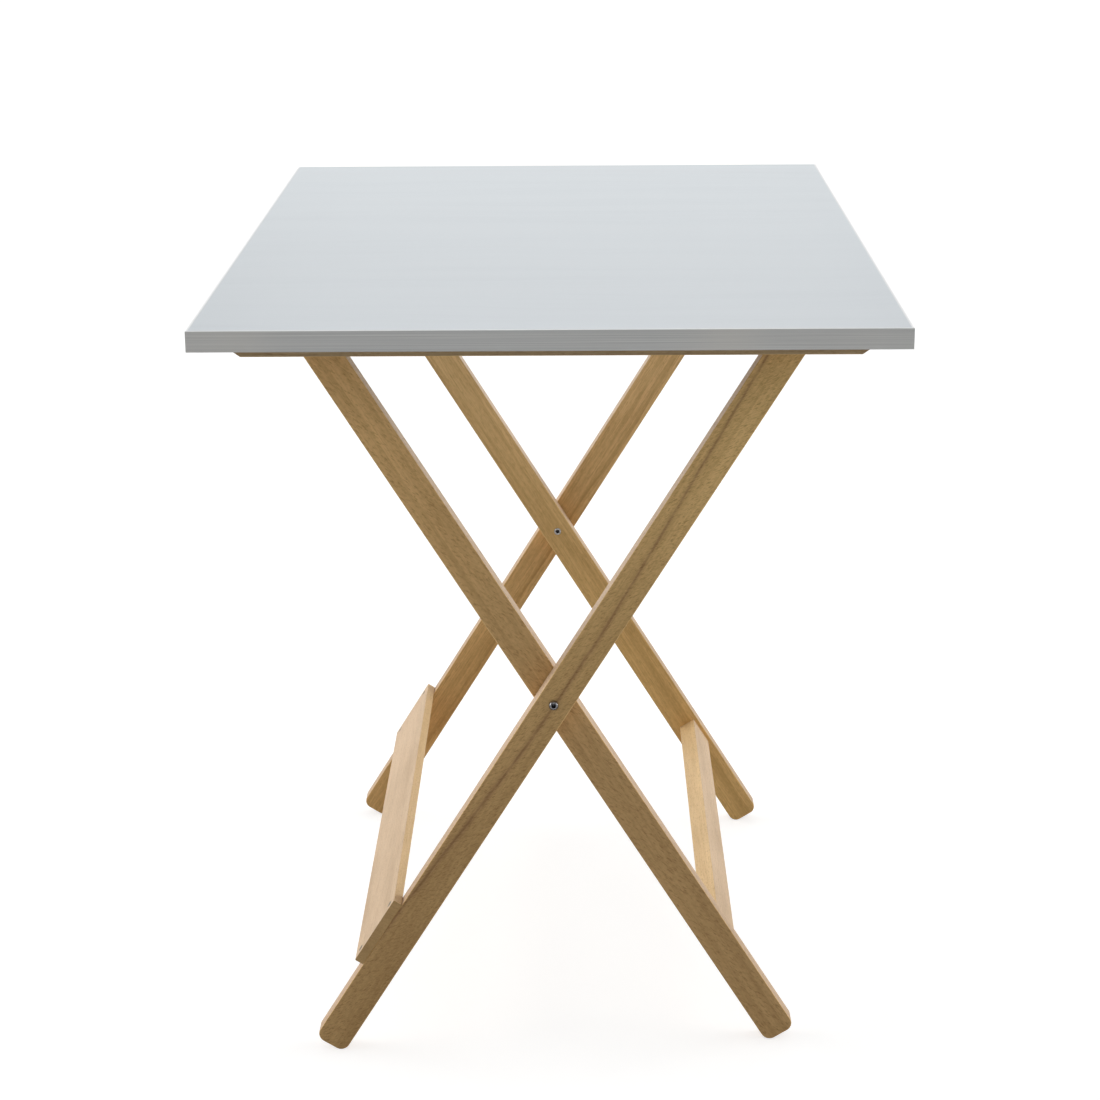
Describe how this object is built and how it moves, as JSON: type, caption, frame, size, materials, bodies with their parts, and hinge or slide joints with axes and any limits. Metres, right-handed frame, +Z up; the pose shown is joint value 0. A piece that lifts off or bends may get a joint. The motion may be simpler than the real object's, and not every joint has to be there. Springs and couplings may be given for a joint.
{
  "type": "folding table",
  "caption": "Rectangular folding table: pale laminated top on two crossed flat beech leg frames that close like scissors on a bolt at each crossing, the top swinging on the outer frame.",
  "frame": {"origin": "on the floor, under the middle of the top", "axes": "+X across the table, in the plane in which the legs cross; +Y along the table, between the two crossed pairs; +Z up"},
  "size_m": [0.6, 0.9, 0.74],
  "materials": {
    "board_core": "raw particle board",
    "top_laminate": "pale cool grey laminate, very faintly textured",
    "underside_laminate": "plain matt balancing laminate",
    "edge_band": "mid grey band with fine lengthwise lines",
    "outer_leg_beech": "clear-lacquered beech, grain along the bar",
    "inner_leg_beech": "clear-lacquered beech, grain along the bar",
    "rail_beech": "clear-lacquered pale beech, grain along the rail",
    "hidden_beech": "clear-lacquered beech",
    "dowel_beech": "raw beech",
    "zinc_steel": "bright zinc-plated steel",
    "screw_steel": "zinc-plated wood screws"
  },
  "bodies": {
    "outer_frame": {"outer_rail": "rail_beech", "outer_rail_screws": "screw_steel", "outer_leg_near": "outer_leg_beech", "pivot_bolt_near": "zinc_steel", "pivot_sleeve_nut_near": "zinc_steel", "pivot_washer_near": "zinc_steel", "outer_leg_far": "outer_leg_beech", "pivot_bolt_far": "zinc_steel", "pivot_sleeve_nut_far": "zinc_steel", "pivot_washer_far": "zinc_steel"},
    "inner_frame": {"inner_rail": "rail_beech", "inner_top_bar": "hidden_beech", "inner_leg_near": "inner_leg_beech", "inner_rail_dowels_near": "dowel_beech", "inner_leg_far": "inner_leg_beech", "inner_rail_dowels_far": "dowel_beech"},
    "tabletop": {"top_board": "board_core", "top_laminate": "top_laminate", "underside_laminate": "underside_laminate", "edge_band_front": "edge_band", "edge_band_back": "edge_band", "edge_band_left": "edge_band", "edge_band_right": "edge_band", "batten_near": "hidden_beech", "batten_screws_near": "screw_steel", "catch_block_near": "hidden_beech", "catch_screws_near": "screw_steel", "hinge_bolt_near": "zinc_steel", "hinge_sleeve_nut_near": "zinc_steel", "hinge_washer_near": "zinc_steel", "batten_far": "hidden_beech", "batten_screws_far": "screw_steel", "catch_block_far": "hidden_beech", "catch_screws_far": "screw_steel", "hinge_bolt_far": "zinc_steel", "hinge_sleeve_nut_far": "zinc_steel", "hinge_washer_far": "zinc_steel"}
  },
  "joints": [
    {"name": "top_swing", "type": "hinge", "parent": "outer_frame", "child": "tabletop", "pos_m": [0.21933, 0, 0.705], "axis": [0, 1, 0], "range_deg": [0, 122]},
    {"name": "leg_fold", "type": "hinge", "parent": "outer_frame", "child": "inner_frame", "pos_m": [0, 0, 0.354], "axis": [0, 1, 0], "range_deg": [0, 63.6]}
  ],
  "couplings": [
    {"joint": "leg_fold", "follows": "top_swing", "ratio": 0.5213}
  ]
}
